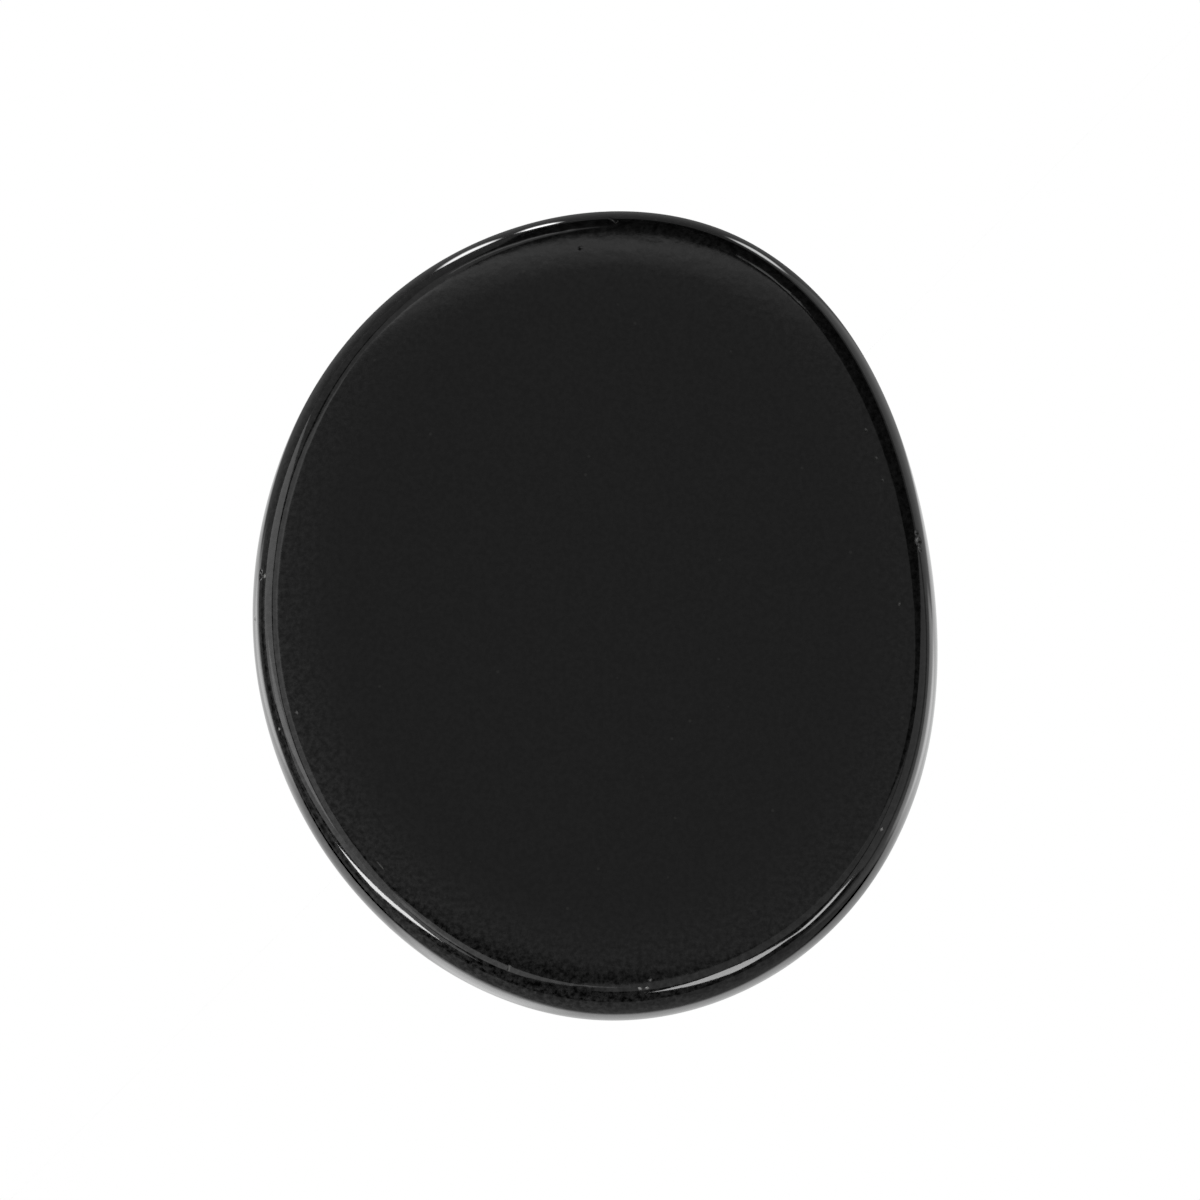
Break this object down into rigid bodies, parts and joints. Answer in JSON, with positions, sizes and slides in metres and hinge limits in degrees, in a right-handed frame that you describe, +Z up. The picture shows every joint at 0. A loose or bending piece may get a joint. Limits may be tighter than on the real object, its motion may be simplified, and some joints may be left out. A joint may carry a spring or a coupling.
{
  "type": "massage stone",
  "caption": "Flat oval basalt massage stone with lapped faces and a rounded, polished edge, for warm-stone massage.",
  "frame": {"origin": "middle of the object's box, on the flat underside that it rests on", "axes": "+Y along the oval's long axis towards its narrower end, +X across it, +Z up through the thickness"},
  "size_m": [0.0672, 0.08, 0.012],
  "materials": {
    "polished_basalt": "polished"
  },
  "bodies": {
    "root": {"massage_stone": "polished_basalt"}
  },
  "joints": []
}
